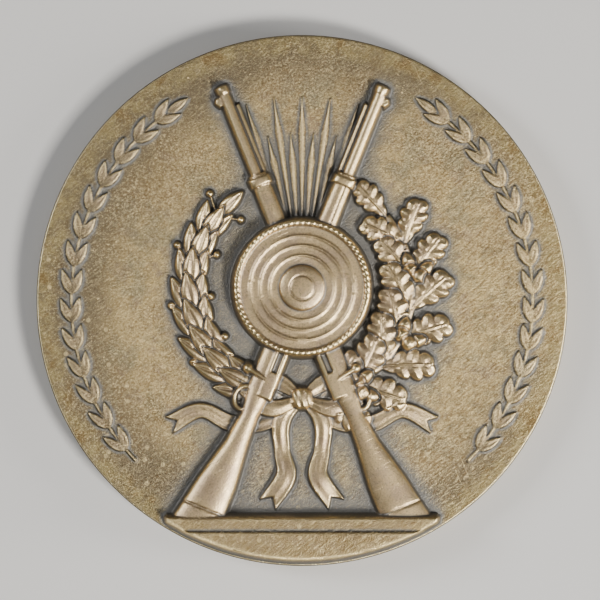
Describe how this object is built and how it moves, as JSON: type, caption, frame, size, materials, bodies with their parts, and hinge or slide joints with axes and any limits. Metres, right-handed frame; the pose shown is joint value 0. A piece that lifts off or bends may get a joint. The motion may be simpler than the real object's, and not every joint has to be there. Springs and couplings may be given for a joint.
{
  "type": "shooting medal",
  "caption": "Round struck silver medal with a flat reverse and a raised trophy of crossed rifles, target, wreath and ribbon on a plinth",
  "frame": {"origin": "centre of the plain reverse, on the surface that the medal lies on", "axes": "+Z out of the struck face, +Y towards the top of the design, +X to the right of it"},
  "size_m": [0.05, 0.05, 0.0054],
  "materials": {
    "silver": "matt sandblasted silver, toned warm grey, darker in the recesses and rubbed bright on the high points"
  },
  "bodies": {
    "root": {"medal": "silver"}
  },
  "joints": []
}
